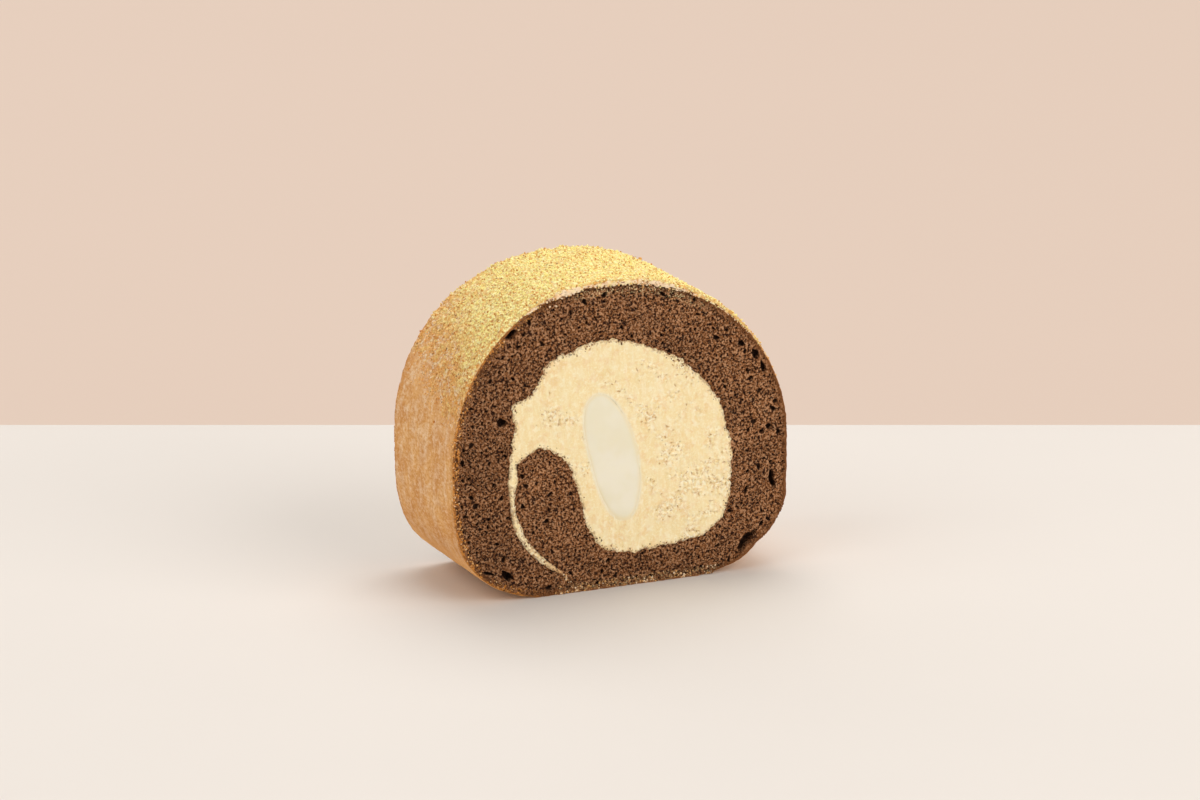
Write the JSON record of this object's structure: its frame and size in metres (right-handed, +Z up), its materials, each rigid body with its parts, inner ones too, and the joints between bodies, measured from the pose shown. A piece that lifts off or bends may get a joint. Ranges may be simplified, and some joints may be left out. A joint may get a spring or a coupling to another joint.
{
  "type": "swiss roll cake slice",
  "caption": "Upright cut slice of a rolled chocolate sponge with cream filling, an oval rice-cake core and a powdered top, standing on its flat base.",
  "frame": {"origin": "centre of the slice's box at its base, on the flat face it stands on, midway between the two cuts", "axes": "+X across the cut face, +Y along the roll's axis from the shown cut to the other, +Z up"},
  "size_m": [0.086, 0.035, 0.074],
  "materials": {
    "chocolate_sponge": "matt open crumb, dark brown at the cut, with a thin baked skin on its outer face",
    "cream": "soft satin whipped cream, pale yellow with fine pits and streaks",
    "rice_cake": "smooth, milky and slightly see-through",
    "roasted_powder": "dry, grainy golden powder, thick on the crown and thin on the sides"
  },
  "bodies": {
    "root": {"sponge_sheet": "chocolate_sponge", "cream_filling": "cream", "mochi_core": "rice_cake"}
  },
  "joints": []
}
